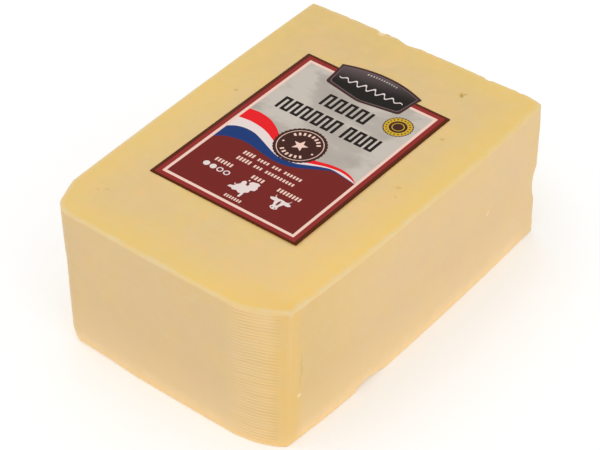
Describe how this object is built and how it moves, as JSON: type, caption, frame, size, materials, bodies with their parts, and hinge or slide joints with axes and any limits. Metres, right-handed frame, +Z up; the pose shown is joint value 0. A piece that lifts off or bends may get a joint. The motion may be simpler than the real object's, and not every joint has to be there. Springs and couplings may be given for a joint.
{
  "type": "cheese block",
  "caption": "Rectangular piece cut from a long bar of pale yellow semi-hard cheese, with two rounded upright corners and a rectangular printed label on top.",
  "frame": {"origin": "middle of the bounding box at the face that the block rests on", "axes": "+Z up through the thickness, +Y along the length away from the end with the rounded corners, +X across the width to the right, seen from that end"},
  "size_m": [0.1054, 0.1512, 0.0605],
  "materials": {
    "cheese": "pale yellow semi-hard cheese, smooth satin cut faces with a soft waxy sheen, fine ridges on the moulded corners",
    "label_print": "satin printed self-adhesive label in maroon, warm grey and cream, with no lettering"
  },
  "bodies": {
    "root": {"cheese_block": "cheese", "label": "label_print"}
  },
  "joints": []
}
